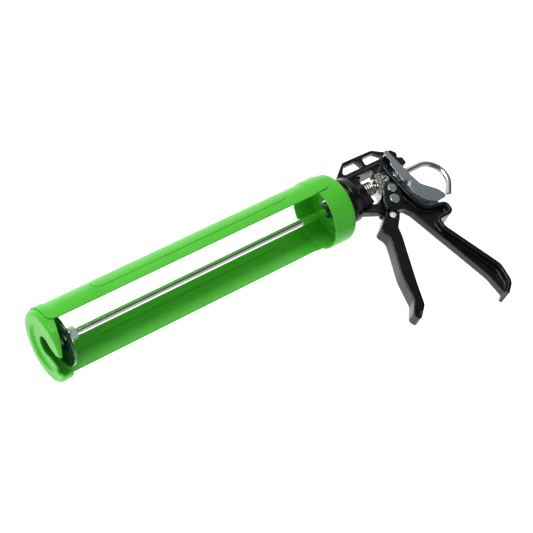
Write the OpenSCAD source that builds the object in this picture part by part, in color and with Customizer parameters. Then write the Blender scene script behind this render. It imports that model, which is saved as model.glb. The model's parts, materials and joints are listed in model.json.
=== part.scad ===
// Rotating-cradle caulking gun for 310 ml cartridges.
// The rod lies along X, nozzle end at low X. The handle hangs towards -Y,
// and the gun lies on its right side, so its left side faces +Z.

/* [Cradle] */
// Outer radius of the cup walls of the front cap and the rear collar
cup_r = 26.4; // [25.8:0.1:28]
// Thickness of the cradle's sheet steel
sheet = 1.2; // [1:0.1:1.4]
// X of the near rim of the rear collar
collar_x = 230; // [220:1:240]
// Depth of the rear collar, rim to back wall
collar_depth = 20.2; // [18:0.2:24]
// Width of the nozzle slot in the front cap
slot_w = 12; // [10:0.5:14]
// Radius of the slot's round end
nozzle_r = 7.8; // [7.5:0.1:9]

/* [Rod] */
// Radius of the push rod
rod_r = 3.1; // [3:0.05:3.2]
// Radius of the piston plate
piston_r = 20; // [18:0.5:23]
// Radius of the bent pull hook, to the middle of the rod
hook_r = 15.4; // [14:0.1:16]

/* [Frame] */
// Half the thickness of the casting's web
web_h = 2.7; // [2.4:0.1:2.8]
// Half the width of the flange along the roof and the back of the handle
flange_h = 8; // [7:0.25:8.5]
// Thickness of that flange
flange_t = 2.6; // [2:0.1:3]
// Radius of the nose flange behind the collar
nose_r = 17.8; // [17:0.1:19]

/* [Trigger] */
// Radius of the pivot pin and the drive pin
pin_r = 2.2; // [2:0.1:2.4]
// Radius of the trigger's spare hole
spare_r = 2.5; // [2.2:0.1:2.7]
// Half the outer width of the trigger's finger bar
bar_h = 5.75; // [5.5:0.25:6]

/* [Hidden] */

green = [0.30, 0.78, 0.22];
black = [0.07, 0.07, 0.08];
zinc = [0.66, 0.70, 0.74];
bright = [0.82, 0.82, 0.83];

e = 0.01;
fit = 0.05;
rod_bore = rod_r + fit;

// Cradle
strip_r = 25.7;
cap_depth = 8;
cap_edge = 2.5;
cap_dish_r = 18.5;
cap_dish = 1.6;
lap = 10;
channel_from = 12;
channel_to = 222;
window_from = 73;
window_to = 161;
window_x0 = 24;
window_x1 = collar_x + 2;
channel_x0 = 4.1;
channel_x1 = collar_x + lap;
slot_angle = -79;
mouth_from = -86;
mouth_to = -46;
collar_x1 = collar_x + collar_depth;
collar_edge = 4;
collar_floor = 2;
spigot_r = 9;
spigot_x = collar_x1 - collar_floor - 0.2;
thread_r = 6.2;
washer_t = 1;

// Rod and piston
rod_x = 15.7;
piston_x = 12.2;
piston_sheet = 1.2;
piston_dish = 4.2;
piston_washer_t = 1.4;
thread_end = 27.5;
hook_x = 331.8;
hook_to = -38;
hook_tail = 9.5;

// Frame
nose_x = collar_x1 + 1.3;
nose_x1 = 263.5;
boss_x = 275.5;
boss_r = 8.5;
roof_y = 13.9;
window_y0 = -13.7;
wall_x = 300.4;

// Pivot, drive pin and spare hole
pivot = [290.6, -18.6];
drive = [294.3, -10.1];
neck_angle = 231.5;
spare = pivot + 12.5 * [cos(neck_angle), sin(neck_angle)];
bridge_front = 9.6;
bridge_back = 8.2;
pull = 36;
clear_h = 7.5;
underside_angle = -17.4;
cheek_in = 6.2;
cheek_out = 8.7;
roller_r = 3;
pivot_bush_r = 3.6;
pivot_boss_r = 5.8;

// Drive plates and springs
plate_tilt = 18;
plate_t = 2.5;
plate_h = 5.7;
plate_x = 288.75;
plate_gap = 0.05;
plate_hole = 4.3;
spring_r = 5.2;
spring_wire = 0.7;

// Release lever
lever_h = 7.5;
lever_side = 1.6;
lever_back = 1.8;
lever_hole = 4.7;
lever_pivot = [310.3, 17.6];
release_r = 3.75;
release_wire = 0.35;

// Unit vector along v
function unit(v) = v / norm(v);

// Angle a turned into the range -180 to 180
function signed(a) = a - 360 * round(a / 360);

// Corner b = [x, y, radius] between a and c, as the points of its round
function corner(a, b, c, n) =
    b[2] == 0 ? [[b[0], b[1]]] :
    let (
        at = [b[0], b[1]],
        u = unit([a[0], a[1]] - at),
        v = unit([c[0], c[1]] - at),
        half = acos(u * v) / 2,
        mid = at + unit(u + v) * b[2] / sin(half),
        t0 = at + u * b[2] / tan(half) - mid,
        t1 = at + v * b[2] / tan(half) - mid,
        a0 = atan2(t0[1], t0[0]),
        turn = signed(atan2(t1[1], t1[0]) - a0)
    )
    [for (i = [0 : n]) mid + b[2] * [cos(a0 + turn * i / n), sin(a0 + turn * i / n)]];

// Closed outline through corners [x, y, radius]
function closed(p, n = 5) =
    [for (i = [0 : len(p) - 1])
        each corner(p[(i + len(p) - 1) % len(p)], p[i], p[(i + 1) % len(p)], n)];

// Open path through corners, whose ends are sharp
function path(p, n = 5) =
    [for (i = [0 : len(p) - 1])
        each (i == 0 || i == len(p) - 1) ? [[p[i][0], p[i][1]]]
            : corner(p[i - 1], p[i], p[i + 1], n)];

// Path moved sideways by d, to its right
function beside(p, d) =
    [for (i = [0 : len(p) - 1])
        let (
            back = unit(p[i] - p[max(i - 1, 0)] + (i == 0 ? p[1] - p[0] : [0, 0])),
            on = unit(p[min(i + 1, len(p) - 1)] - p[i] + (i == len(p) - 1 ? p[i] - p[i - 1] : [0, 0])),
            way = unit(back + on),
            miter = d / max(way * on, 0.5)
        )
        p[i] + miter * [way[1], -way[0]]];

// Points in the opposite order
function reversed(p) = [for (i = [len(p) - 1 : -1 : 0]) p[i]];

// Points without the last one
function but_last(p) = [for (i = [0 : len(p) - 2]) p[i]];

// Strip of thickness t on the right side of a path
function band(p, t) = concat(p, reversed(beside(p, t)));

// Plate with the given outline between two heights
module slab(outline, z0, z1) {
    translate([0, 0, z0])
        linear_extrude(z1 - z0)
            polygon(outline);
}

// Solid of revolution about X, from a profile of [radius, x] points
module spun(profile) {
    rotate([0, 90, 0])
        rotate_extrude($fn = 96)
            polygon(profile);
}

// Round bar along X
module bar_x(r, x0, x1) {
    translate([x0, 0, 0])
        rotate([0, 90, 0])
            cylinder(r = r, h = x1 - x0, $fn = 64);
}

// Round bar along Z at a point of the side view
module bar_z(at, r, z0, z1) {
    translate([at[0], at[1], z0])
        cylinder(r = r, h = z1 - z0, $fn = 48);
}

// Wedge about X between two angles, counted from +Z towards +Y
module wedge(from, to, x0, x1, r = 40) {
    steps = ceil((to - from) / 40);
    translate([x0, 0, 0])
        rotate([90, 0, 90])
            linear_extrude(x1 - x0)
                polygon(concat([[0, 0]], [for (i = [0 : steps])
                    let (a = from + (to - from) * i / steps) r * [sin(a), cos(a)]]));
}

// Tube about X between two angles
module arc_tube(r, t, x0, x1, from, to) {
    intersection() {
        difference() {
            bar_x(r + t, x0, x1);
            bar_x(r, x0 - 1, x1 + 1);
        }
        wedge(from, to, x0 - 1, x1 + 1);
    }
}

// Rounded oblong cut along the radius at an angle about X
module radial_pad(angle, x0, x1, width, corner_r) {
    rotate([-angle, 0, 0])
        translate([0, 0, 12])
            linear_extrude(24)
                polygon(closed([
                    [x0, -width / 2, corner_r],
                    [x1, -width / 2, corner_r],
                    [x1, width / 2, corner_r],
                    [x0, width / 2, corner_r]
                ]));
}

// Six-sided nut about X
module nut_x(across, x0, x1, bore) {
    difference() {
        intersection() {
            translate([x0, 0, 0])
                rotate([0, 90, 0])
                    cylinder(r = across / sqrt(3), h = x1 - x0, $fn = 6);
            spun([
                [0, x0], [across * 0.5, x0], [across * 0.585, x0 + across * 0.06],
                [across * 0.585, x1 - across * 0.06], [across * 0.5, x1], [0, x1]
            ]);
        }
        bar_x(bore, x0 - 1, x1 + 1);
    }
}

// Coil spring about X, as one swept tube whose first and last turns lie flat
module coil(r, wire, x0, x1, turns, turn_steps = 20, sides = 8) {
    steps = turns * turn_steps;
    flat = 2.1 * wire;
    pitch = (x1 - x0 - 2 * wire - 2 * flat) / (turns - 2);
    rise = function(u)
        u < 1 ? flat * u
        : u > turns - 1 ? flat + pitch * (turns - 2) + flat * (u - turns + 1)
        : flat + pitch * (u - 1);
    ring = function(u)
        [for (s = [0 : sides - 1])
            let (w = 360 * s / sides, out = r + wire * cos(w), x = x0 + wire + rise(u) + wire * sin(w))
                [x, out * sin(360 * u), out * cos(360 * u)]];
    points = [for (k = [0 : steps]) each ring(k / turn_steps)];
    skin = [for (k = [0 : steps - 1]) for (s = [0 : sides - 1])
        [k * sides + s, k * sides + (s + 1) % sides,
         (k + 1) * sides + (s + 1) % sides, (k + 1) * sides + s]];
    ends = [[for (s = [sides - 1 : -1 : 0]) s], [for (s = [0 : sides - 1]) steps * sides + s]];
    polyhedron(points = points, faces = concat(skin, ends), convexity = 8);
}

// Drawn steel cap with a recessed middle and a keyhole slot for the nozzle
module front_cap() {
    inner = cup_r - sheet;
    taper_angle = (channel_from + mouth_to) / 2;
    arm_half = cup_r * sin((channel_from - mouth_to) / 2);
    arm_edge = 1.4;
    edge = [for (a = [0 : 15 : 90]) [cup_r - cap_edge + cap_edge * sin(a), cap_edge * (1 - cos(a))]];
    in_r = cap_edge - sheet;
    in_edge = [for (a = [90 : -15 : 0]) [inner - in_r + in_r * sin(a), cap_edge - in_r * cos(a)]];
    color(green)
        difference() {
            spun(concat(
                [[0, cap_dish], [cap_dish_r - 2.2, cap_dish], [cap_dish_r, 0]],
                edge,
                [[cup_r, cap_depth], [inner, cap_depth]],
                in_edge,
                [[cap_dish_r + 0.5, sheet], [cap_dish_r - 1.7, sheet + cap_dish], [0, sheet + cap_dish]]
            ));
            // wall that gets lower towards the end of the arm
            rotate([-taper_angle, 0, 0])
                translate([0, 0, 20])
                    linear_extrude(20)
                        polygon([
                            [cap_depth, arm_half], [arm_edge, -arm_half], [arm_edge, -20],
                            [cap_depth + 4, -20], [cap_depth + 4, arm_half]
                        ]);
            bar_x(nozzle_r, -1, cap_depth);
            rotate([-slot_angle, 0, 0])
                translate([-1, -slot_w / 2, 0])
                    cube([6, slot_w, cup_r - 4]);
            intersection() {
                wedge(mouth_from, mouth_to, -1, cap_depth + 1);
                difference() {
                    bar_x(cup_r + 4, -1, cap_depth + 1);
                    bar_x(13.5, -2, cap_depth + 2);
                }
            }
        }
}

// What is cut away to round a corner of a strip, at the end x and the edge angle
module corner_cut(x, x_way, angle, angle_way, r) {
    over = 0.05;
    tip = [x + over * x_way, -over * angle_way];
    round = corner(tip - [20 * x_way, 0], [tip[0], tip[1], r], tip + [0, 20 * angle_way], 5);
    rotate([-angle, 0, 0])
        translate([0, 0, 12])
            linear_extrude(24)
                polygon(concat(round, [
                    tip + [x_way, r * angle_way], tip + [x_way, -angle_way], tip - [r * x_way, angle_way]
                ]));
}

// Half-pipe of the cradle: two strips, joined at their ends, with pressed panels
module cradle_channel() {
    mid0 = cap_depth + 5;
    mid1 = collar_x - 5;
    slope = 3;
    outer_r = strip_r + sheet;
    window_w = 2 * outer_r * sin((window_to - window_from) / 2);
    panel_x0 = 45;
    panel_x1 = collar_x - 23;
    panel_w = 13;
    press = 0.5;
    corner_r = 4.5;
    up = (channel_from + window_from) / 2;
    down = (channel_to + window_to) / 2;
    color(green)
        difference() {
            union() {
                intersection() {
                    spun([
                        [cup_r, channel_x0], [cup_r, mid0 - slope], [strip_r, mid0],
                        [strip_r, mid1], [cup_r, mid1 + slope], [cup_r, channel_x1],
                        [cup_r + sheet, channel_x1], [cup_r + sheet, mid1 + slope], [outer_r, mid1],
                        [outer_r, mid0], [cup_r + sheet, mid0 - slope], [cup_r + sheet, channel_x0]
                    ]);
                    wedge(channel_from, channel_to, channel_x0 - 1, channel_x1 + 1);
                }
                for (a = [up, down])
                    intersection() {
                        arc_tube(outer_r - e, press, panel_x0, panel_x1, a - 22, a + 22);
                        radial_pad(a, panel_x0, panel_x1, panel_w, 5);
                    }
            }
            radial_pad((window_from + window_to) / 2, window_x0, window_x1, window_w, 6);
            for (a = [up, down])
                intersection() {
                    arc_tube(strip_r - 1, 1 + press, panel_x0, panel_x1, a - 20, a + 20);
                    radial_pad(a, panel_x0 + sheet, panel_x1 - sheet, panel_w - 2 * sheet, 4);
                }
            for (end = [[channel_x0, -1], [channel_x1, 1]])
                for (side = [[channel_from, 1], [channel_to, -1]])
                    corner_cut(end[0], end[1], side[0], side[1], corner_r);
        }
}

// Drawn steel collar that turns on the frame's nose
module rear_collar() {
    inner = cup_r - sheet;
    edge = [for (a = [90 : -15 : 0])
        [cup_r - collar_edge + collar_edge * sin(a), collar_x1 - collar_edge * (1 - cos(a))]];
    in_r = collar_edge - sheet;
    in_edge = [for (a = [0 : 15 : 90])
        [inner - in_r + in_r * sin(a), collar_x1 - collar_floor - in_r * (1 - cos(a))]];
    color(green)
        spun(concat(
            [[spigot_r + fit, collar_x1 - collar_floor]],
            [[14.5, collar_x1 - collar_floor], [15.5, collar_x1 - collar_floor - 1]],
            [[17.5, collar_x1 - collar_floor - 1], [18.5, collar_x1 - collar_floor]],
            in_edge,
            [[inner, collar_x], [cup_r, collar_x]],
            edge,
            [[18.5, collar_x1], [17.5, collar_x1 - 0.8]],
            [[15.5, collar_x1 - 0.8], [14.5, collar_x1]],
            [[spigot_r + fit, collar_x1]]
        ));
}

// Hexagon nut that keeps the collar on the nose
module retaining_nut() {
    x1 = spigot_x - washer_t;
    color(zinc)
        nut_x(15, x1 - 4.5, x1, thread_r);
}

// Steel washer between the nut and the spigot, which holds the collar's back wall
module friction_washer() {
    color(bright)
        spun([
            [thread_r + fit, spigot_x - washer_t], [10.5, spigot_x - washer_t],
            [10.5, spigot_x], [thread_r + fit, spigot_x]
        ]);
}

// Outer face of the roof and of the back of the handle, from nose to tip
back_path = path([
    [262, roof_y, 0],
    [301, roof_y, 4],
    [303.1, -2, 30],
    [305.4, -20, 24],
    [309.6, -34.6, 9],
    [328.3, -38.1, 5],
    [327.5, -48.8, 4.6],
    [313.2, -48.8, 2],
    [313.4, -56, 8],
    [332.8, -102, 14],
    [331, -118, 9],
    [322.8, -124.5, 0]
]);

// Front face of the handle and underside of the frame
front_path = path([
    [322.3, -121.9, 0],
    [320.8, -104, 24],
    [300, -33.2, 8],
    [296.4, -27.4, 3],
    [279, -22.2, 12],
    [260, -13.6, 0]
]);

// Top of the web: the carrying fin with its two slots, and the two hooks of the lever
fin_path = path([
    [261, 12, 0],
    [262.4, 17.8, 2],
    [276, 28.1, 3],
    [303.8, 27.4, 5],
    [313.4, 21.3, 0.8],
    [318.6, 21, 1.6],
    [321.8, 16.6, 1.6],
    [319.8, 13, 0.6],
    [323.6, 11.4, 1.8],
    [323.6, 5.4, 1.2],
    [312, 6.4, 1],
    [302, 6, 0]
]);

// Die-cast frame: nose, web with window, roof and back flange, handle
module frame() {
    bead = 0.7;
    color(black)
        difference() {
            union() {
                // nose that carries the collar
                spun([
                    [0, spigot_x - 7.3], [thread_r - 0.6, spigot_x - 7.3], [thread_r, spigot_x - 6.7],
                    [thread_r, spigot_x], [spigot_r, spigot_x],
                    [spigot_r, collar_x1 + 0.3], [12, collar_x1 + 0.3], [12, nose_x],
                    [16.4, nose_x], [17, nose_x + 0.6], [17, nose_x + 3], [15.8, nose_x + 3.8],
                    [15.8, nose_x + 5], [nose_r, nose_x + 6], [nose_r, nose_x1 - 0.8],
                    [nose_r - 0.8, nose_x1], [14.6, nose_x1 + 0.4], [13.8, nose_x1 + 2],
                    [10.5, nose_x1 + 4], [boss_r, nose_x1 + 7], [boss_r, boss_x], [0, boss_x]
                ]);
                // web of the frame and the handle
                slab(concat(front_path, but_last(beside(back_path, flange_t / 2))), -web_h, web_h);
                // fin above the roof
                slab(fin_path, -web_h + 0.2, web_h - 0.2);
                // roof and back flange
                slab(band(back_path, flange_t), -flange_h, flange_h);
                // bead along the front edge
                slab(band(front_path, 1.7), -web_h - bead, web_h + bead);
                // rear wall round the rod, and the pivot's boss
                bar_x(6.4, wall_x - 3.4, 304.3);
                bar_z(pivot, pivot_boss_r, -5.9, 5.9);
                // ribs beside the nose, and a small cast boss
                for (s = [-1, 1])
                    translate([nose_x1, -13.2, s * 6.4 - 1.1])
                        cube([12, 26, 2.2]);
                bar_z([270.6, -10.2], 2.7, -web_h - 1, web_h + 1);
            }
            // window for the drive
            slab(closed([
                [boss_x, window_y0, 3], [wall_x - 2, window_y0, 3], [wall_x, roof_y - flange_t, 1.5],
                [282, roof_y - flange_t, 1.5], [boss_x, 6.8, 1.5]
            ]), -20, 20);
            // two slots of the fin
            slab(closed([
                [268.8, 18.1, 1.6], [289.4, 18.1, 1.6], [287.4, 25.2, 2.1], [275.2, 25.2, 2.1]
            ]), -6, 6);
            slab(closed([
                [291.8, 18.1, 1.6], [311, 18.1, 1.6], [304.4, 25.2, 2.1], [293, 25.2, 2.1]
            ]), -6, 6);
            bar_z([270.6, -10.2], 1.3, web_h + 0.4, web_h + 3);
            bar_x(rod_bore, 200, boss_x + 1);
            bar_x(4.6, wall_x - 4, 306);
            bar_x(6.2, wall_x - 4, wall_x);
            bar_z(pivot, pivot_bush_r, -7, 7);
        }
}

// Flanged steel bush that guides the rod in the rear wall
module rear_bush() {
    color(bright)
        spun([
            [rod_bore, wall_x - 1.2], [6, wall_x - 1.2], [6, wall_x], [4.6, wall_x],
            [4.6, 305], [rod_bore, 305]
        ]);
}

// Bronze bush pressed into the pivot's boss
module pivot_bush() {
    color([0.72, 0.55, 0.28])
        difference() {
            bar_z(pivot, pivot_bush_r, -6, 6);
            bar_z(pivot, pin_r + fit, -7, 7);
        }
}

// Chrome push rod, bent into a pull hook at its rear
module push_rod() {
    bend_r = rod_r - 0.02;
    tail_r = rod_r - 0.04;
    bend_to = 90.5;
    color(bright)
        union() {
            spun([
                [0, rod_x], [rod_r - 0.7, rod_x], [rod_r - 0.2, rod_x + 0.6], [rod_r - 0.2, thread_end],
                [rod_r, thread_end + 0.5], [rod_r, hook_x], [0, hook_x]
            ]);
            translate([hook_x, -hook_r, 0])
                rotate([0, 0, hook_to]) {
                    rotate_extrude(angle = bend_to - hook_to, $fn = 96)
                        translate([hook_r, 0])
                            circle(r = bend_r, $fn = 48);
                    translate([hook_r, 0.2, 0])
                        rotate([90, 0, 0])
                            cylinder(r = tail_r, h = hook_tail, $fn = 48);
                    translate([hook_r, 0.2 - hook_tail, 0])
                        rotate([90, 0, 0])
                            cylinder(r1 = tail_r, r2 = tail_r - 0.8, h = 0.8, $fn = 48);
                }
        }
}

// Pressed piston plate, a thin disc whose middle is dished back
module piston_plate() {
    r = piston_r;
    t = piston_sheet;
    x = piston_x;
    hub = x + piston_dish;
    bore = rod_r - 0.2 + fit;
    color([0.20, 0.22, 0.24])
        spun([
            [bore, hub], [7.6, hub], [10.4, x + 1.4], [r - 1.6, x + 0.2], [r - 0.3, x], [r, x + 0.4],
            [r, x + t + 0.5], [r - 0.4, x + t + 0.7], [r - 1.8, x + t + 0.2], [10.8, x + t + 1.5],
            [8, hub + t], [bore, hub + t]
        ]);
}

// Large washer behind the piston plate
module piston_washer() {
    x = piston_x + piston_dish + piston_sheet;
    bore = rod_r - 0.2 + fit;
    color(zinc)
        spun([[bore, x], [7, x], [7, x + piston_washer_t], [bore, x + piston_washer_t]]);
}

// Nut that clamps the piston plate on the rod
module piston_nut() {
    x = piston_x + piston_dish + piston_sheet + piston_washer_t;
    color(zinc)
        nut_x(9, x, x + 5.6, rod_r - 0.2 + fit);
}

// Spring that brings the drive plates and the trigger back
module main_spring() {
    color(bright)
        coil(spring_r, spring_wire, boss_x + 0.05, plate_x - 2.9, 5);
}

// Steel grip plate, tilted on the rod
module drive_plate(offset) {
    color([0.72, 0.70, 0.64])
        difference() {
            translate([plate_x + offset, 0, 0])
                rotate([0, 0, -plate_tilt])
                    rotate([90, 0, 90])
                        linear_extrude(plate_t)
                            polygon(closed([
                                [-12, -4.4, 1.5], [-12, 4.4, 1.5], [-7, plate_h, 1], [9.6, plate_h, 3],
                                [9.6, -plate_h, 3], [-7, -plate_h, 1]
                            ]));
            translate([plate_x + offset, 0, 0])
                rotate([0, 0, -plate_tilt])
                    translate([0, plate_t / 2 * tan(plate_tilt), 0])
                        bar_x(plate_hole, -2, plate_t + 2);
        }
}

module drive_plate_front() {
    drive_plate(0);
}

module drive_plate_rear() {
    drive_plate((plate_t + plate_gap) / cos(plate_tilt));
}

// Point of the trigger's neck, s below the pivot and t behind its middle line
function neck(s, t) =
    pivot + s * [cos(neck_angle), sin(neck_angle)] + t * [-sin(neck_angle), cos(neck_angle)];

// Corner of an outline with the round r
function round_at(p, r) = [p[0], p[1], r];

// Side view of the trigger's finger bar and neck
trigger_outline = closed([
    round_at(neck(5, 5.6), 0.5),
    round_at(neck(5, -5.6), 0.5),
    [279.1, -24.5, 6],
    [270.6, -31.2, 4],
    [265.6, -34.6, 3],
    [268.9, -42.5, 8],
    [266.6, -49.5, 10],
    [257.2, -73, 40],
    [253, -94.5, 6],
    [245.6, -103.2, 2.4],
    [247.8, -110, 2.2],
    [258.3, -101, 8],
    [263.8, -84.5, 25],
    [278, -47, 12],
    [280, -39, 6],
    [285.9, -33.2, 3],
    round_at(neck(10.5, 5.4), 2)
]);

// Side view of one cheek
cheek_outline = closed([
    [291.6, -2.8, 5],
    [300.4, -7.6, 6],
    [298.2, -21, 7],
    round_at(neck(bridge_back, 6), 1.2),
    round_at(neck(bridge_front, -6), 1.2),
    [281.8, -17.4, 5]
]);

// Small oval hollow in the trigger's tip
tip_hollow = closed([
    [248.6, -103.9, 1.2], [249.2, -107.1, 1.2], [253.6, -104.1, 1.2], [252.4, -101.3, 1.2]
], 4);

// Die-cast trigger: two cheeks round the frame, a neck and a channel-shaped finger bar
module trigger() {
    wall = 2.1;
    hollow = 1.6;
    reach = 40;
    down = underside_angle - 90 - pull / 2;
    apex = pivot + clear_h / cos(pull / 2) * [cos(down), sin(down)];
    color(black)
        difference() {
            union() {
                // cheeks and the bridge between them
                slab(cheek_outline, -cheek_out, cheek_out);
                // neck and finger bar
                slab(trigger_outline, -bar_h, bar_h);
            }
            // space for the frame over the whole pull
            slab(closed([
                round_at(apex, 2),
                round_at(apex - reach * [cos(underside_angle), sin(underside_angle)], 0),
                [260, 20, 0],
                [330, 20, 0],
                round_at(apex + reach * [cos(underside_angle - pull), sin(underside_angle - pull)], 0)
            ]), -cheek_in, cheek_in);
            // pocket of the channel, open towards the handle
            slab(closed([
                [274.6, -39.5, 3], [270.6, -52, 10], [260.6, -76, 30], [257.2, -92.6, 3],
                [270, -92.6, 0.1], [300, -39.5, 0.1]
            ]), -bar_h + wall, bar_h - wall);
            slab(tip_hollow, bar_h - hollow, bar_h + 1);
            slab(tip_hollow, -bar_h - 1, -bar_h + hollow);
            bar_z(spare, spare_r, -10, 10);
            bar_z(pivot, pin_r, -10, 10);
            bar_z(drive, pin_r, -10, 10);
        }
}

// Headed pin through both cheeks, with a groove for its clip
module headed_pin(at, head_r) {
    color(zinc)
        translate([at[0], at[1], 0])
            rotate_extrude($fn = 64)
                polygon([
                    [0, -cheek_out - 2], [pin_r - 0.3, -cheek_out - 2], [pin_r, -cheek_out - 1.7],
                    [pin_r, -cheek_out - 1], [pin_r - 0.5, -cheek_out - 1], [pin_r - 0.5, -cheek_out - 0.2],
                    [pin_r, -cheek_out - 0.2], [pin_r, cheek_out], [head_r, cheek_out],
                    [head_r, cheek_out + 0.9], [head_r - 0.5, cheek_out + 1.4], [0, cheek_out + 1.4]
                ]);
}

module pivot_pin() {
    headed_pin(pivot, 3.9);
}

module drive_pin() {
    headed_pin(drive, 3.6);
}

// Roller on the drive pin that pushes the plates
module drive_roller() {
    color(bright)
        difference() {
            bar_z(drive, roller_r, -5.9, 5.9);
            bar_z(drive, pin_r + fit, -7, 7);
        }
}

// Spring clips on the far ends of the two pins
module pin_clips() {
    color([0.30, 0.30, 0.32])
        for (at = [pivot, drive])
            difference() {
                bar_z(at, pin_r + 1.2, -cheek_out - 0.9, -cheek_out - 0.3);
                bar_z(at, pin_r - 0.5, -cheek_out - 2, -cheek_out);
                translate([at[0] - 0.9, at[1] - 5, -cheek_out - 2])
                    cube([1.8, 5, 3]);
            }
}

// Rear face of the lever's back plate, from its top to the thumb pad's end
lever_path = path([
    [312.4, 20.2, 0],
    [316.6, -7, 30],
    [318.8, -16.6, 8],
    [328.6, -26.4, 9],
    [331.2, -32, 0]
]);

// Free edge of its two sides, from the pad's end to the top
lever_front = path([
    [329.8, -34.9, 0],
    [321.8, -35.4, 3],
    [313.8, -30.6, 9],
    [309.2, -21.4, 6],
    [309.4, -15, 2],
    [312.9, -12.4, 1],
    [312.9, -9.4, 1],
    [307.8, -8.4, 1.2],
    [307.6, 8.8, 1.2],
    [309.6, 11.4, 1],
    [308.6, 18, 1.6],
    [310.2, 20.2, 0]
]);

// Zinc-plated brake and release lever, a channel with its open side to the front
module release_lever() {
    side = concat(lever_path, lever_front);
    tilt = atan2(4.2, 27.2);
    slot_h = web_h + 0.3;
    color(zinc)
        difference() {
            union() {
                for (z0 = [-lever_h, lever_h - lever_side])
                    slab(side, z0, z0 + lever_side);
                slab(band(lever_path, lever_back), -lever_h, lever_h);
                // round studs that the lever tilts on
                bar_z(lever_pivot, 1.6, -lever_h + 0.1, lever_h - 0.1);
            }
            // slot for the frame's fin and hooks, from the rod's hole to the open top
            translate([300, 0, -slot_h])
                cube([24, 25, 2 * slot_h]);
            translate([315.4, 0, 0])
                rotate([0, 0, tilt])
                    bar_x(lever_hole, -6, 6);
        }
}

// Spring that tilts the lever so that it holds the rod
module release_spring() {
    color(bright)
        coil(release_r, release_wire, 305.1, 312.9, 6, 16);
}

front_cap();
cradle_channel();
rear_collar();
retaining_nut();
friction_washer();
frame();
rear_bush();
pivot_bush();
push_rod();
piston_plate();
piston_washer();
piston_nut();
main_spring();
drive_plate_front();
drive_plate_rear();
trigger();
pivot_pin();
drive_pin();
drive_roller();
pin_clips();
release_lever();
release_spring();
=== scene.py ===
"""Looks of a caulking gun with a turning cradle: enamel, casting, chrome, zinc and spring steel."""
import json
import math

import bpy
from mathutils import Matrix, Vector


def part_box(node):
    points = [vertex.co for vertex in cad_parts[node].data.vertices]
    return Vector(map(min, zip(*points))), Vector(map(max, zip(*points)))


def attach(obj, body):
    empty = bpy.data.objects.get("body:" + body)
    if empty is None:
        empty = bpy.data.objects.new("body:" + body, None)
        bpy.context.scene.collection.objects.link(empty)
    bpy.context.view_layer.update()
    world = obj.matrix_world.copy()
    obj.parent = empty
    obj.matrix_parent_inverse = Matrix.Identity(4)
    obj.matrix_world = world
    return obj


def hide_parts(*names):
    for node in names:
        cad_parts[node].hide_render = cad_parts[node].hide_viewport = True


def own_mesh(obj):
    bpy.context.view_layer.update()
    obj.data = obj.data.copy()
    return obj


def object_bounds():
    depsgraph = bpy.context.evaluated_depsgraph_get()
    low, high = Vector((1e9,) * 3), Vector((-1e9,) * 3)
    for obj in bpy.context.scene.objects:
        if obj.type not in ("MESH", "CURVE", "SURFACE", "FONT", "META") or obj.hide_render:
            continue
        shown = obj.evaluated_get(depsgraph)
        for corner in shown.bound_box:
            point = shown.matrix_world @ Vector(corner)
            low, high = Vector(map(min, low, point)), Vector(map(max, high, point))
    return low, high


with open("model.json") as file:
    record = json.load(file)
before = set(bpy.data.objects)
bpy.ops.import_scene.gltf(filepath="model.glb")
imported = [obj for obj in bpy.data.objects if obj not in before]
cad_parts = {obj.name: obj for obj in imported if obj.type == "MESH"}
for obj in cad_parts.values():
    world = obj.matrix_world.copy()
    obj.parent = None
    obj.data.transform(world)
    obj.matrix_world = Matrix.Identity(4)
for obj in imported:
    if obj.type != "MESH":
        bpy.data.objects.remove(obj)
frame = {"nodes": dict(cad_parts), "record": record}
cad_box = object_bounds()

MM = 0.001

# Camera: place and axes in the row frame
CAMERA_AT = Vector((-0.2655, -0.3047, 0.8325))
CAMERA_BACK = Vector((-0.446, -0.291, 0.847))
CAMERA_UP = Vector((0.398, 0.783, 0.479))
CAMERA_FOV = math.radians(22.07)

# Coils of the two springs: wire radius and turns of each, then steps per turn, sides of
# the wire, and the pitch of the closed ends in wire radii
MAIN_WIRE = 0.7 * MM
MAIN_TURNS = 5
RELEASE_WIRE = 0.35 * MM
RELEASE_TURNS = 6
COIL_STEPS = 56
COIL_SIDES = 16
END_PITCH = 2.1

# Studio: half the floor's side, and the soft lights as direction, distance, size and power
FLOOR_HALF = 6.0
KEY_LIGHT = ((-0.10, 0.38, 0.92), 1.2, 0.6, 9.2)
LEFT_LIGHT = ((-0.95, 0.25, 0.45), 1.2, 0.6, 1.1)

# Glow of the floor and of the walls. A wall glow is a direction, the cosines of its edge and of its full
# part, and its strength
FLOOR_GLOW = 0.85
WALL_BASE = 0.09
WALL_GLOWS = (
    ((0.30, 0.93, 0.20), 0.45, 0.90, 0.7),
    ((0.20, -0.90, 0.35), 0.75, 0.95, 0.45),
    ((-0.95, 0.15, 0.15), 0.50, 0.95, 0.30),
)


# ---------------------------------------------------------------- shader helpers

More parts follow.
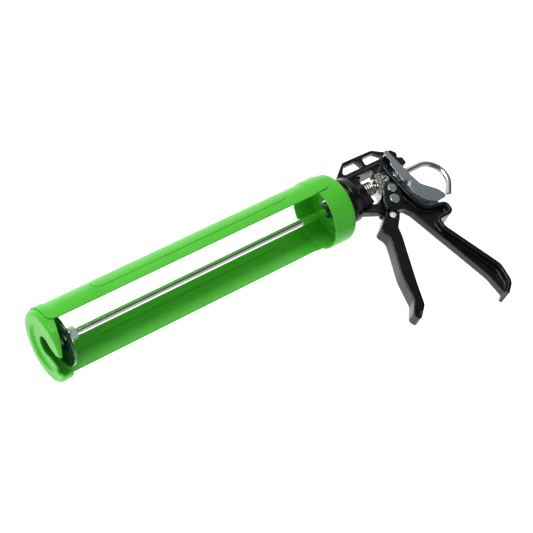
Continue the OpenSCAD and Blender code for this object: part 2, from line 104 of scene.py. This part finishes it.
class Shader:
    """One procedural material on a Principled shader, whose textures are in the object's own space."""

    def __init__(self, name, **sockets):
        self.material = bpy.data.materials.new(name)
        self.material.use_nodes = True
        self.nodes = self.material.node_tree.nodes
        self.links = self.material.node_tree.links
        self.nodes.clear()
        output = self.nodes.new("ShaderNodeOutputMaterial")
        self.surface = self.nodes.new("ShaderNodeBsdfPrincipled")
        self.links.new(self.surface.outputs[0], output.inputs["Surface"])
        for socket, value in sockets.items():
            self.surface.inputs[socket.replace("_", " ")].default_value = value
        self.place = self.nodes.new("ShaderNodeTexCoord").outputs["Object"]

    def feed(self, node, socket, value):
        """Sets an input to a number or colour, or links it to an output."""
        if isinstance(value, bpy.types.NodeSocket):
            self.links.new(value, node.inputs[socket])
        elif value is not None:
            node.inputs[socket].default_value = value

    def set(self, socket, value):
        self.feed(self.surface, socket, value)

    def stretched(self, scale):
        """The object's own coordinates, scaled by a number for each axis."""
        node = self.nodes.new("ShaderNodeVectorMath")
        node.operation = "MULTIPLY"
        self.links.new(self.place, node.inputs[0])
        node.inputs[1].default_value = scale
        return node.outputs[0]

    def noise(self, scale, detail=3.0, roughness=0.5, stretch=None, distortion=0.0):
        """Noise from 0 to 1, scale in cycles per metre."""
        node = self.nodes.new("ShaderNodeTexNoise")
        self.feed(node, "Vector", self.stretched(stretch) if stretch else self.place)
        self.feed(node, "Scale", scale)
        self.feed(node, "Detail", detail)
        self.feed(node, "Roughness", roughness)
        self.feed(node, "Distortion", distortion)
        return node.outputs["Fac"]

    def ramp(self, value, low, high, to_low=0.0, to_high=1.0):
        """Value mapped from low..high to to_low..to_high, and kept inside."""
        node = self.nodes.new("ShaderNodeMapRange")
        self.feed(node, "Value", value)
        self.feed(node, "From Min", low)
        self.feed(node, "From Max", high)
        self.feed(node, "To Min", to_low)
        self.feed(node, "To Max", to_high)
        return node.outputs["Result"]

    def math(self, operation, a, b=None):
        node = self.nodes.new("ShaderNodeMath")
        node.operation = operation
        self.feed(node, 0, a)
        self.feed(node, 1, b)
        return node.outputs[0]

    def mix(self, factor, a, b):
        """Colour a where factor is 0, b where it is 1."""
        node = self.nodes.new("ShaderNodeMix")
        node.data_type = "RGBA"
        for socket, value in ((0, factor), (6, a), (7, b)):
            if isinstance(value, tuple):
                value = (*value, 1.0)
            self.feed(node, socket, value)
        return node.outputs[2]

    def rounded(self, radius, samples=6):
        """The normal with sharp edges rounded to that radius."""
        node = self.nodes.new("ShaderNodeBevel")
        node.samples = samples
        node.inputs["Radius"].default_value = radius
        return node.outputs["Normal"]

    def edge(self, normal, low=0.02, high=0.25):
        """1 along sharp edges, 0 on open faces, from a rounded normal."""
        geometry = self.nodes.new("ShaderNodeNewGeometry")
        dot = self.nodes.new("ShaderNodeVectorMath")
        dot.operation = "DOT_PRODUCT"
        self.links.new(normal, dot.inputs[0])
        self.links.new(geometry.outputs["Normal"], dot.inputs[1])
        return self.ramp(self.math("SUBTRACT", 1.0, dot.outputs["Value"]), low, high)

    def inside_bore(self, centre, radius):
        """1 on the wall of a hole along Z, 0 elsewhere."""
        offset = self.nodes.new("ShaderNodeVectorMath")
        offset.operation = "SUBTRACT"
        self.links.new(self.place, offset.inputs[0])
        offset.inputs[1].default_value = (centre[0], centre[1], 0.0)
        flat = self.nodes.new("ShaderNodeVectorMath")
        flat.operation = "MULTIPLY"
        self.links.new(offset.outputs[0], flat.inputs[0])
        flat.inputs[1].default_value = (1.0, 1.0, 0.0)
        length = self.nodes.new("ShaderNodeVectorMath")
        length.operation = "LENGTH"
        self.links.new(flat.outputs[0], length.inputs[0])
        return self.ramp(length.outputs["Value"], radius + 0.03 * MM, radius + 0.08 * MM, 1.0, 0.0)

    def bump(self, height, distance, strength=1.0, normal=None):
        """A bump of the given real height in metres, on top of another normal."""
        node = self.nodes.new("ShaderNodeBump")
        self.feed(node, "Height", height)
        self.feed(node, "Distance", distance)
        self.feed(node, "Strength", strength)
        self.feed(node, "Normal", normal)
        return node.outputs["Normal"]


def scratches(shader, scale, stretch, width=0.012):
    """Thin sparse lines, 1 on a scratch."""
    lines = shader.noise(scale, detail=1.0, roughness=0.3, stretch=stretch, distortion=0.4)
    line = shader.math("ABSOLUTE", shader.math("SUBTRACT", lines, 0.5))
    patches = shader.ramp(shader.noise(scale * 0.35, detail=2.0), 0.55, 0.66)
    return shader.math("MULTIPLY", shader.ramp(line, 0.0, width, 1.0, 0.0), patches)


# ---------------------------------------------------------------- materials

def green_enamel():
    """Gloss enamel on pressed sheet: slight orange peel, thinner and paler on the edges."""
    s = Shader("green_enamel", Coat_Weight=0.20, Coat_Roughness=0.05, Specular_IOR_Level=0.07)
    normal = s.rounded(0.5 * MM)
    edge = s.edge(normal)
    tone = s.ramp(s.noise(28.0, detail=3.0), 0.35, 0.65)
    colour = s.mix(tone, (0.078, 0.530, 0.034), (0.092, 0.570, 0.043))
    colour = s.mix(s.math("MULTIPLY", edge, 0.45), colour, (0.27, 0.72, 0.16))
    scuffs = scratches(s, 260.0, (0.35, 1.0, 1.0))
    s.set("Base Color", s.mix(s.math("MULTIPLY", scuffs, 0.18), colour, (0.30, 0.66, 0.20)))
    s.set("Roughness", s.math("ADD", s.ramp(s.noise(90.0, detail=4.0), 0.3, 0.7, 0.26, 0.38),
                              s.math("MULTIPLY", scuffs, 0.15)))
    peel = s.math("ADD", s.noise(420.0, detail=1.5), s.math("MULTIPLY", s.noise(60.0, detail=2.0), 1.6))
    s.set("Normal", s.bump(peel, 0.035 * MM, 0.55, normal))
    return s.material


def black_casting(name="black_casting", bore=None):
    """Semi-gloss black paint on die-cast aluminium: fine cast grain, rubbed edges, and a bare bore."""
    s = Shader(name, Specular_IOR_Level=0.42)
    normal = s.rounded(2.0 * MM, 8)
    edge = s.edge(s.rounded(0.5 * MM))
    grain = s.noise(1500.0, detail=3.0, roughness=0.6)
    flow = s.noise(120.0, detail=3.0)
    colour = s.mix(s.ramp(flow, 0.35, 0.65), (0.0035, 0.0035, 0.0038), (0.0065, 0.0065, 0.0068))
    worn = s.math("MULTIPLY", edge, s.ramp(s.noise(240.0, detail=4.0), 0.42, 0.62, 0.15, 1.0))
    colour = s.mix(s.math("MULTIPLY", worn, 0.5), colour, (0.075, 0.075, 0.078))
    if bore:
        bare = s.inside_bore(*bore)
        colour = s.mix(bare, colour, (0.80, 0.81, 0.82))
        s.set("Metallic", bare)
    s.set("Base Color", colour)
    s.set("Roughness", s.ramp(s.math("ADD", s.math("MULTIPLY", flow, 0.6), s.math("MULTIPLY", grain, 0.4)),
                              0.35, 0.65, 0.14, 0.22))
    height = s.math("ADD", grain, s.math("MULTIPLY", s.noise(330.0, detail=2.0), 1.5))
    s.set("Normal", s.bump(height, 0.03 * MM, 0.6, normal))
    return s.material


def chrome_rod():
    """Bright chrome on drawn bar: faint ground rings and a few pulled scratches."""
    s = Shader("chrome_rod", Metallic=1.0)
    rings = s.noise(900.0, detail=2.0, stretch=(4.0, 0.25, 0.25))
    scuffs = scratches(s, 500.0, (0.06, 1.0, 1.0), 0.02)
    haze = s.ramp(s.noise(70.0, detail=4.0), 0.35, 0.70)
    s.set("Base Color", s.mix(haze, (0.83, 0.83, 0.82), (0.74, 0.74, 0.735)))
    s.set("Roughness", s.math("ADD", s.ramp(rings, 0.3, 0.7, 0.07, 0.13),
                              s.math("MULTIPLY", scuffs, 0.16)))
    s.set("Normal", s.bump(rings, 0.004 * MM, 0.5, s.rounded(0.3 * MM, 4)))
    return s.material


def plated(name, pale, dull, rough, tint=None, grain=(1.0, 1.0, 1.0), grain_height=0.006, edge_radius=0.3):
    """Plated steel: cloudy plating, fine grain and brighter rubbed edges."""
    s = Shader(name, Metallic=1.0)
    normal = s.rounded(edge_radius * MM)
    edge = s.edge(normal)
    cloud = s.ramp(s.noise(170.0, detail=5.0, roughness=0.6), 0.36, 0.64)
    colour = s.mix(cloud, pale, dull)
    if tint:
        stain = s.ramp(s.noise(120.0, detail=3.0, distortion=0.6), 0.48, 0.68, 0.0, 0.75)
        colour = s.mix(stain, colour, tint)
    bright = tuple(min(1.0, 1.25 * v) for v in pale)
    s.set("Base Color", s.mix(s.math("MULTIPLY", edge, 0.7), colour, bright))
    lines = s.noise(1300.0, detail=2.0, stretch=grain)
    scuffs = scratches(s, 420.0, (0.4, 1.0, 1.0), 0.02)
    both = s.math("ADD", s.math("MULTIPLY", lines, 0.5), s.math("MULTIPLY", cloud, 0.5))
    s.set("Roughness", s.math("ADD", s.ramp(both, 0.2, 0.8, *rough), s.math("MULTIPLY", scuffs, 0.12)))
    s.set("Normal", s.bump(lines, grain_height * MM, 0.7, normal))
    return s.material


def piston_steel():
    """Glossy plating on pressed steel, coloured dark teal as a painted reflection of the green cradle,
    rubbed to bright metal round the rim.
    """
    s = Shader("piston_steel", Coat_Weight=0.7, Coat_Roughness=0.08)
    normal = s.rounded(0.5 * MM)
    edge = s.edge(normal)
    cloud = s.ramp(s.noise(110.0, detail=5.0, roughness=0.62), 0.34, 0.66)
    # Dark teal is a painted reflection of the green cradle, not the plating's own colour
    colour = s.mix(cloud, (0.006, 0.030, 0.022), (0.020, 0.060, 0.045))
    worn = s.math("MULTIPLY", edge, s.ramp(s.noise(300.0, detail=3.0), 0.30, 0.50, 0.4, 1.0))
    s.set("Base Color", s.mix(worn, colour, (0.84, 0.86, 0.86)))
    s.set("Metallic", s.ramp(worn, 0.0, 0.6, 0.35, 1.0))
    s.set("Roughness", s.ramp(s.noise(600.0, detail=3.0), 0.3, 0.7, 0.12, 0.24))
    s.set("Normal", s.bump(s.noise(800.0, detail=2.0), 0.012 * MM, 0.5, normal))
    return s.material


def pale_floor():
    """Plain pale studio paper, lit through a little, with a barely visible tooth."""
    s = Shader("studio_paper", Specular_IOR_Level=0.1, Emission_Strength=FLOOR_GLOW)
    s.set("Base Color", s.mix(s.noise(6.0, detail=2.0), (0.90, 0.90, 0.90), (0.92, 0.92, 0.92)))
    s.surface.inputs["Emission Color"].default_value = (1.0, 1.0, 1.0, 1.0)
    s.set("Roughness", s.ramp(s.noise(40.0), 0.3, 0.7, 0.85, 0.95))
    s.set("Normal", s.bump(s.noise(900.0, detail=2.0), 0.02 * MM, 0.3))
    return s.material


MATERIALS = {
    "green_enamel": green_enamel(),
    "black_casting": black_casting(),
    "chrome_rod": chrome_rod(),
    "piston_steel": piston_steel(),
    "zinc_plate": plated("zinc_plate", (0.58, 0.66, 0.71), (0.52, 0.60, 0.65), (0.20, 0.27),
                         grain_height=0.0012),
    # A lighter copy of zinc_plate, a painted highlight for the nut and washer that catch the light
    "zinc_painted_highlight": plated("zinc_painted_highlight", (0.82, 0.86, 0.88), (0.70, 0.74, 0.77), (0.15, 0.24),
                          grain_height=0.0012),
    "spring_steel": plated("spring_steel", (0.80, 0.82, 0.84), (0.56, 0.58, 0.60), (0.10, 0.24),
                           edge_radius=0.1),
    "hardened_steel": plated("hardened_steel", (0.60, 0.59, 0.55), (0.43, 0.42, 0.40), (0.14, 0.26),
                             tint=(0.52, 0.46, 0.34), grain=(1.0, 0.12, 1.0), grain_height=0.003),
    "bronze": plated("bronze", (0.62, 0.42, 0.18), (0.42, 0.28, 0.12), (0.30, 0.48)),
    "clip_steel": plated("clip_steel", (0.11, 0.11, 0.12), (0.06, 0.06, 0.065), (0.30, 0.45)),
}


def paint(obj, slot):
    """Gives an object one of the materials."""
    obj.data.materials.clear()
    obj.data.materials.append(MATERIALS[slot])


# ---------------------------------------------------------------- springs

def coil(name, wire, turns, low, high):
    """A closed-ended round-wire coil that fills the box of the CAD spring."""
    radius = (high.y - low.y) / 2 - wire
    centre_y = (high.y + low.y) / 2
    flat = END_PITCH * wire
    pitch = (high.x - low.x - 2 * wire - 2 * flat) / (turns - 2)
    steps = turns * COIL_STEPS
    vertices = []
    for k in range(steps + 1):
        u = k / COIL_STEPS
        middle = min(max(u - 1, 0), turns - 2)
        x = low.x + wire + flat * (u - middle) + pitch * middle
        turn = 2 * math.pi * u
        for side in range(COIL_SIDES):
            w = 2 * math.pi * side / COIL_SIDES
            out = radius + wire * math.cos(w)
            vertices.append((x + wire * math.sin(w), centre_y + out * math.sin(turn), out * math.cos(turn)))
    faces = []
    for k in range(steps):
        for side in range(COIL_SIDES):
            a = k * COIL_SIDES + side
            b = k * COIL_SIDES + (side + 1) % COIL_SIDES
            faces.append((a, b, b + COIL_SIDES, a + COIL_SIDES))
    faces.append(tuple(reversed(range(COIL_SIDES))))
    faces.append(tuple(range(steps * COIL_SIDES, (steps + 1) * COIL_SIDES)))
    mesh = bpy.data.meshes.new(name)
    mesh.from_pydata(vertices, [], faces)
    mesh.update()
    for polygon in mesh.polygons:
        polygon.use_smooth = len(polygon.vertices) == 4
    obj = bpy.data.objects.new(name, mesh)
    bpy.context.scene.collection.objects.link(obj)
    return obj


def spring(name, node, wire, turns):
    """A smooth coil in place of a CAD spring, attached to the frame body."""
    low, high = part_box(node)
    obj = coil(name, wire, turns, low, high)
    paint(obj, "spring_steel")
    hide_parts(node)
    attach(obj, "frame")
    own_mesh(obj)
    return obj


# ---------------------------------------------------------------- object

def finish_nodes():
    """Each CAD node gets the material of its slot in the record, but the rod's nut and washer get a lighter
    copy of the zinc as a painted highlight, and the trigger gets a bare hole."""
    slots = {part["node"]: part["material_slot"] for part in frame["record"]["subparts"]}
    for name, obj in frame["nodes"].items():
        paint(obj, slots[name])
    # The nut and washer get the lighter zinc copy as a painted highlight
    for name in ("piston_washer", "piston_nut"):
        paint(frame["nodes"][name], "zinc_painted_highlight")
    hole = next(m for m in frame["record"]["mounts"] if m["name"] == "trigger_spare_hole")
    MATERIALS["bored_casting"] = black_casting("bored_casting", (hole["pos_m"], hole["dims"]["r_mm"] * MM))
    paint(frame["nodes"]["trigger"], "bored_casting")


# ---------------------------------------------------------------- studio

def add_floor(height):
    """Large pale floor at the object's lowest point."""
    mesh = bpy.data.meshes.new("studio_floor")
    corners = [(x * FLOOR_HALF, y * FLOOR_HALF, height) for x, y in ((-1, -1), (1, -1), (1, 1), (-1, 1))]
    mesh.from_pydata(corners, [], [(0, 1, 2, 3)])
    floor = bpy.data.objects.new("studio_floor", mesh)
    bpy.context.scene.collection.objects.link(floor)
    floor.data.materials.append(pale_floor())


def add_softbox(name, direction, distance, size, power, aim):
    """Square area light that looks at aim from a direction and a distance."""
    light = bpy.data.lights.new(name, "AREA")
    light.shape = "SQUARE"
    light.size = size
    light.energy = power
    obj = bpy.data.objects.new(name, light)
    bpy.context.scene.collection.objects.link(obj)
    back = Vector(direction).normalized()
    obj.location = aim + back * distance
    obj.rotation_mode = "QUATERNION"
    obj.rotation_quaternion = (-back).to_track_quat("-Z", "Y")


def add_world(base, glows):
    """Dim studio walls with soft glows, given as WALL_GLOWS gives them."""
    world = bpy.data.worlds.new("studio_world")
    bpy.context.scene.world = world
    world.use_nodes = True
    nodes = world.node_tree.nodes
    links = world.node_tree.links
    direction = nodes.new("ShaderNodeTexCoord").outputs["Generated"]
    total = None
    for toward, low, high, strength in glows:
        dot = nodes.new("ShaderNodeVectorMath")
        dot.operation = "DOT_PRODUCT"
        links.new(direction, dot.inputs[0])
        dot.inputs[1].default_value = Vector(toward).normalized()
        glow = nodes.new("ShaderNodeMapRange")
        glow.interpolation_type = "SMOOTHSTEP"
        links.new(dot.outputs["Value"], glow.inputs["Value"])
        glow.inputs["From Min"].default_value = low
        glow.inputs["From Max"].default_value = high
        glow.inputs["To Max"].default_value = strength
        add = nodes.new("ShaderNodeMath")
        add.operation = "ADD"
        links.new(glow.outputs["Result"], add.inputs[0])
        add.inputs[1].default_value = base
        if total is not None:
            links.new(total, add.inputs[1])
        total = add.outputs[0]
    background = nodes["Background"]
    background.inputs["Color"].default_value = (1.0, 1.0, 1.0, 1.0)
    links.new(total, background.inputs["Strength"])


def add_camera():
    """Camera at the viewing angle, from its place and its upward and backward axes."""
    data = bpy.data.cameras.new("camera")
    data.sensor_width = 36.0
    data.angle = CAMERA_FOV
    data.clip_start = 0.01
    data.clip_end = 50.0
    obj = bpy.data.objects.new("camera", data)
    bpy.context.scene.collection.objects.link(obj)
    back = CAMERA_BACK.normalized()
    right = CAMERA_UP.cross(back).normalized()
    up = back.cross(right)
    axes = Matrix((right, up, back)).transposed()
    obj.matrix_world = Matrix.Translation(CAMERA_AT) @ axes.to_4x4()
    bpy.context.scene.camera = obj


add_camera()
finish_nodes()
spring("main_spring_coil", "main_spring", MAIN_WIRE, MAIN_TURNS)
spring("release_spring_coil", "release_spring", RELEASE_WIRE, RELEASE_TURNS)

middle = (cad_box[0] + cad_box[1]) / 2
add_floor(cad_box[0].z)
add_world(WALL_BASE, WALL_GLOWS)
add_softbox("key_light", *KEY_LIGHT, middle)
add_softbox("left_light", *LEFT_LIGHT, middle)
bpy.context.scene.view_settings.view_transform = "Standard"
